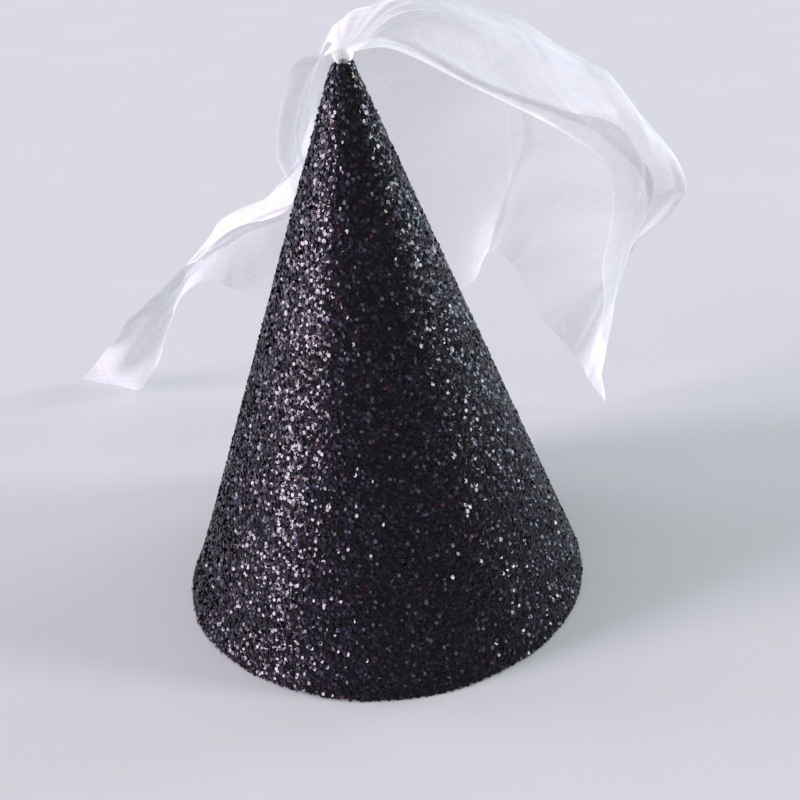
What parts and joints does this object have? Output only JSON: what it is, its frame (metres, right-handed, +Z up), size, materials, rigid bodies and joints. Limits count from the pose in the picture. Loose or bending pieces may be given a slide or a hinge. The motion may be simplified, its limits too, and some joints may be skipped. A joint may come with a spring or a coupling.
{
  "type": "cone party hat",
  "caption": "Cone party hat in black glitter cloth with a lapped seam and a sheer white veil gathered into the open tip.",
  "frame": {"origin": "centre of the rim, on the cone's axis, in the plane that the rim stands on", "axes": "+Z up along the cone's axis to the tip, -Y to the front, +Y to the back where the veil falls"},
  "size_m": [0.2331, 0.2158, 0.1753],
  "materials": {
    "glitter_cloth": "dense black hexagonal glitter flakes on a black cloth backing",
    "stiffener_felt": "thin pressed black felt",
    "hot_glue": "set hot-melt glue, slightly cloudy",
    "organza": "crisp sheer white organza",
    "thread": "twisted polyester sewing thread"
  },
  "bodies": {
    "root": {"glitter_cone": "glitter_cloth", "stiffener_cone": "stiffener_felt", "seam_glue_strip": "hot_glue", "organza_veil": "organza", "veil_tie_thread": "thread", "tip_glue_plug": "hot_glue"}
  },
  "joints": []
}
